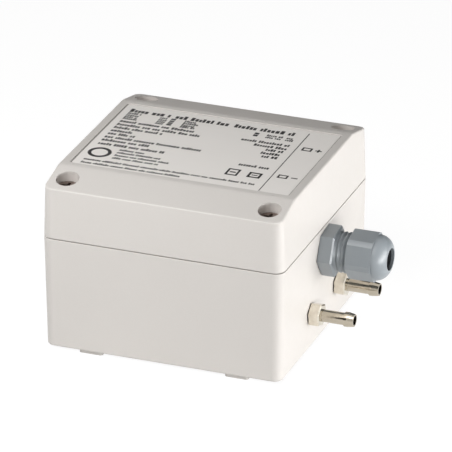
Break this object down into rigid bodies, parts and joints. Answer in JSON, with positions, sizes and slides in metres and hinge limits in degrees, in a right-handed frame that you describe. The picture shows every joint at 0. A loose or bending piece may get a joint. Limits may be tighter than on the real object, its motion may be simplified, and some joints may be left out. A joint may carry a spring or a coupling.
{
  "type": "pressure transmitter",
  "caption": "Wall-mounted differential pressure transmitter in a small moulded box, with a cable gland and hose barbs on one side.",
  "frame": {"origin": "middle of the four wall-fixing holes, on the plane of the feet", "axes": "+X towards the cable gland and hose nozzles, +Y to the back, +Z out of the wall, through the cover"},
  "size_m": [0.1042, 0.083, 0.0598],
  "materials": {
    "housing_plastic": "fine satin moulded grain, light warm grey",
    "label_plastic": "smooth printed film, light grey with dark print",
    "seal_rubber": "matt black rubber",
    "insert_brass": "turned brass",
    "screw_steel": "plated steel",
    "gland_plastic": "semi-gloss grey polyamide",
    "nozzle_nickel": "bright nickel plate on brass",
    "board_laminate": "green solder mask on glass laminate",
    "sensor_plastic": "black moulded plastic",
    "hose_silicone": "milky silicone",
    "terminal_plastic": "green moulded plastic",
    "trimmer_plastic": "blue moulded plastic",
    "rotor_brass": "turned brass",
    "header_plastic": "black moulded plastic",
    "pin_gold": "gold flash on brass",
    "link_plastic": "red moulded plastic",
    "capacitor_sleeve": "dark blue sleeve"
  },
  "bodies": {
    "housing": {"base_housing": "housing_plastic", "screw_inserts": "insert_brass", "gland_body": "gland_plastic", "gland_wall_seal": "seal_rubber", "gland_locknut": "gland_plastic", "gland_cable_seal": "seal_rubber", "front_hose_nozzle": "nozzle_nickel", "rear_hose_nozzle": "nozzle_nickel", "nozzle_wall_seals": "seal_rubber", "nozzle_locknuts": "nozzle_nickel", "circuit_board": "board_laminate", "board_screws": "screw_steel", "pressure_sensor": "sensor_plastic", "front_sensor_hose": "hose_silicone", "rear_sensor_hose": "hose_silicone", "terminal_block": "terminal_plastic", "zero_trimmer": "trimmer_plastic", "span_trimmer": "trimmer_plastic", "pin_header": "header_plastic", "header_pins": "pin_gold", "capacitor": "capacitor_sleeve", "amplifier_chip": "sensor_plastic"},
    "cover": {"cover": "housing_plastic", "cover_gasket": "seal_rubber", "label_film": "label_plastic"},
    "front_left_screw": {"front_left_cover_screw": "screw_steel"},
    "front_right_screw": {"front_right_cover_screw": "screw_steel"},
    "rear_left_screw": {"rear_left_cover_screw": "screw_steel"},
    "rear_right_screw": {"rear_right_cover_screw": "screw_steel"},
    "gland_cap": {"gland_cap": "gland_plastic"},
    "terminal_screw_1": {"terminal_screw_1": "screw_steel"},
    "terminal_screw_2": {"terminal_screw_2": "screw_steel"},
    "terminal_screw_3": {"terminal_screw_3": "screw_steel"},
    "zero_adjuster": {"zero_adjuster": "rotor_brass"},
    "span_adjuster": {"span_adjuster": "rotor_brass"},
    "selection_link": {"selection_link": "link_plastic"}
  },
  "joints": [
    {"name": "cover_lift", "type": "slide", "parent": "housing", "child": "cover", "axis": [0, 0, 1], "range_m": [0, 0.06]},
    {"name": "front_left_screw_turn", "type": "hinge", "parent": "cover", "child": "front_left_screw", "pos_m": [-0.0343, -0.0346, 0.05591], "axis": [0, 0, 1], "continuous": true},
    {"name": "front_right_screw_turn", "type": "hinge", "parent": "cover", "child": "front_right_screw", "pos_m": [0.0343, -0.0346, 0.05591], "axis": [0, 0, 1], "continuous": true},
    {"name": "rear_left_screw_turn", "type": "hinge", "parent": "cover", "child": "rear_left_screw", "pos_m": [-0.0343, 0.0346, 0.05591], "axis": [0, 0, 1], "continuous": true},
    {"name": "rear_right_screw_turn", "type": "hinge", "parent": "cover", "child": "rear_right_screw", "pos_m": [0.0343, 0.0346, 0.05591], "axis": [0, 0, 1], "continuous": true},
    {"name": "gland_cap_turn", "type": "hinge", "parent": "housing", "child": "gland_cap", "pos_m": [0.0503, -0.0006, 0.0309], "axis": [1, 0, 0], "continuous": true},
    {"name": "terminal_screw_1_turn", "type": "hinge", "parent": "housing", "child": "terminal_screw_1", "pos_m": [-0.01218, -0.00508, 0.019], "axis": [0, 0, 1], "continuous": true},
    {"name": "terminal_screw_2_turn", "type": "hinge", "parent": "housing", "child": "terminal_screw_2", "pos_m": [-0.01218, 0, 0.019], "axis": [0, 0, 1], "continuous": true},
    {"name": "terminal_screw_3_turn", "type": "hinge", "parent": "housing", "child": "terminal_screw_3", "pos_m": [-0.01218, 0.00508, 0.019], "axis": [0, 0, 1], "continuous": true},
    {"name": "zero_adjust", "type": "hinge", "parent": "housing", "child": "zero_adjuster", "pos_m": [-0.026, -0.0115, 0.0137], "axis": [0, 0, 1], "range_deg": [-135, 135]},
    {"name": "span_adjust", "type": "hinge", "parent": "housing", "child": "span_adjuster", "pos_m": [-0.026, -0.002, 0.0137], "axis": [0, 0, 1], "range_deg": [-135, 135]},
    {"name": "link_lift", "type": "slide", "parent": "housing", "child": "selection_link", "axis": [0, 0, 1], "range_m": [0, 0.01]}
  ]
}
